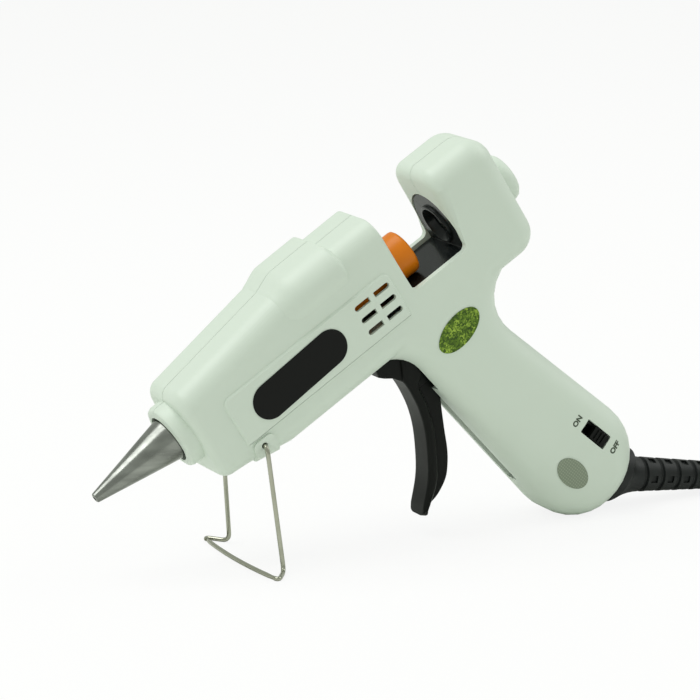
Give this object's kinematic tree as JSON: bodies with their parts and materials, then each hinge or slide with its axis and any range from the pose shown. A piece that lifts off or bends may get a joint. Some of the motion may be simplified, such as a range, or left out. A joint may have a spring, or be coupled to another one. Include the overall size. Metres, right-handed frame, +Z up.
{
  "type": "mini hot glue applicator",
  "caption": "Small mains glue gun on a folding wire stand: split housing, metal nozzle, stick sleeve, sliding feeder, trigger, slide switch, ribbed bend relief and coiled lead.",
  "frame": {"origin": "on the surface it stands on, under the middle of the box round gun, bend relief and stand, without the lead", "axes": "+X from the nozzle to the handle, +Y to the flank with the screws, +Z up"},
  "size_m": [0.3067, 0.0775, 0.1199],
  "materials": {
    "housing": "moulded, smooth, softly glossy",
    "orange": "moulded, smooth",
    "black": "moulded, satin",
    "dark": "moulded, glossy",
    "relief": "moulded, soft, satin",
    "nozzle": "turned, polished, a little tarnished",
    "steel": "drawn, bright",
    "brass": "stamped, bright",
    "aluminium": "cast",
    "ceramic": "fired",
    "film": "clear amber film",
    "washer": "pressed",
    "label": "smooth film",
    "foil": "mottled metallic film",
    "seal": "fine grained paper",
    "cord": "smooth sheath"
  },
  "bodies": {
    "housing": {"left_shell": "housing", "right_shell": "housing", "nozzle": "nozzle", "nozzle_washer": "washer", "melt_chamber": "aluminium", "upper_electrode": "brass", "ptc_heater": "ceramic", "lower_electrode": "brass", "heater_insulation": "film", "inlet_sleeve": "orange", "sleeve_clip": "steel", "trigger_pin": "steel", "return_spring": "steel", "switch_body": "black", "info_label": "label", "foil_sticker": "foil", "seal_sticker": "seal", "strain_relief": "relief", "cord_inner": "cord", "cord_clamp": "black", "clamp_screw_1": "steel", "clamp_screw_2": "steel", "lead_live": "label", "lead_neutral": "seal", "lead_switched": "label", "cord_lead": "cord", "cord_coil": "cord", "cord_tail": "cord", "cord_tie": "black", "plug_body": "cord", "plug_blade_1": "brass", "plug_blade_2": "brass", "shell_screw_1": "steel", "shell_screw_2": "steel", "shell_screw_3": "steel", "shell_screw_4": "steel", "shell_screw_5": "steel"},
    "trigger": {"trigger": "black"},
    "feeder": {"feeder_carriage": "dark", "drive_pin": "steel", "clamp_pin": "steel"},
    "gripper": {"clamp_lever": "steel"},
    "stand": {"stand_wire": "steel"},
    "switch": {"switch_slider": "black"}
  },
  "joints": [
    {"name": "trigger_pivot", "type": "hinge", "parent": "housing", "child": "trigger", "pos_m": [0.00347, 0, 0.05377], "axis": [0, -1, 0], "range_deg": [0, 22], "stiffness_Nm_per_rad": 0.25, "springref_deg": -11.46},
    {"name": "feeder_slide", "type": "slide", "parent": "housing", "child": "feeder", "axis": [-0.848, 0, -0.5299], "range_m": [0, 0.00836]},
    {"name": "clamp_pivot", "type": "hinge", "parent": "feeder", "child": "gripper", "pos_m": [0.01548, 0, 0.0904], "axis": [0, -1, 0], "range_deg": [0, 8]},
    {"name": "stand_fold", "type": "hinge", "parent": "housing", "child": "stand", "pos_m": [-0.05788, 0, 0.0376], "axis": [0, -1, 0], "range_deg": [0, 113]},
    {"name": "switch_slide", "type": "slide", "parent": "housing", "child": "switch", "axis": [-0.7727, 0, 0.6348], "range_m": [0, 0.0035]}
  ],
  "couplings": [
    {"joint": "feeder_slide", "follows": "trigger_pivot", "m_per_rad": 0.02176},
    {"joint": "clamp_pivot", "follows": "trigger_pivot", "ratio": 0.3636}
  ]
}
